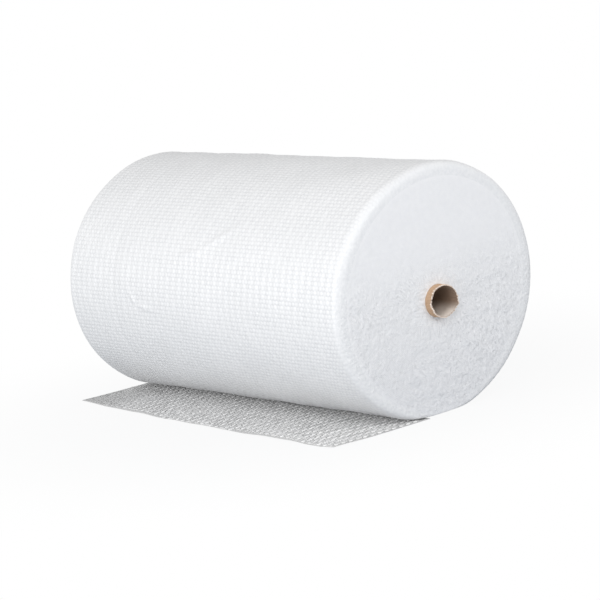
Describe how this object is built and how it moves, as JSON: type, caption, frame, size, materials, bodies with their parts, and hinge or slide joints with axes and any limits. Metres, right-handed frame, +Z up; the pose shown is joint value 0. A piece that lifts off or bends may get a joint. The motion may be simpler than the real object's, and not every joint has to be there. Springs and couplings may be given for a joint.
{
  "type": "bubble wrap roll",
  "caption": "Wide soft roll of bubble film wound on a cardboard core, lying on its side with its loose end run out on the floor.",
  "frame": {"origin": "on the floor under the roll's axis, at the middle of the film's width", "axes": "+X along the core towards its torn end, -Y the way the loose end runs out on the floor, +Z up"},
  "size_m": [1.0395, 0.595, 0.5444],
  "materials": {
    "bubble_film": "semi-gloss, milky, slightly translucent",
    "core_board": "matte spiral-wound kraft board with a torn edge"
  },
  "bodies": {
    "root": {"bubble_wrap": "bubble_film", "cardboard_core": "core_board"}
  },
  "joints": []
}
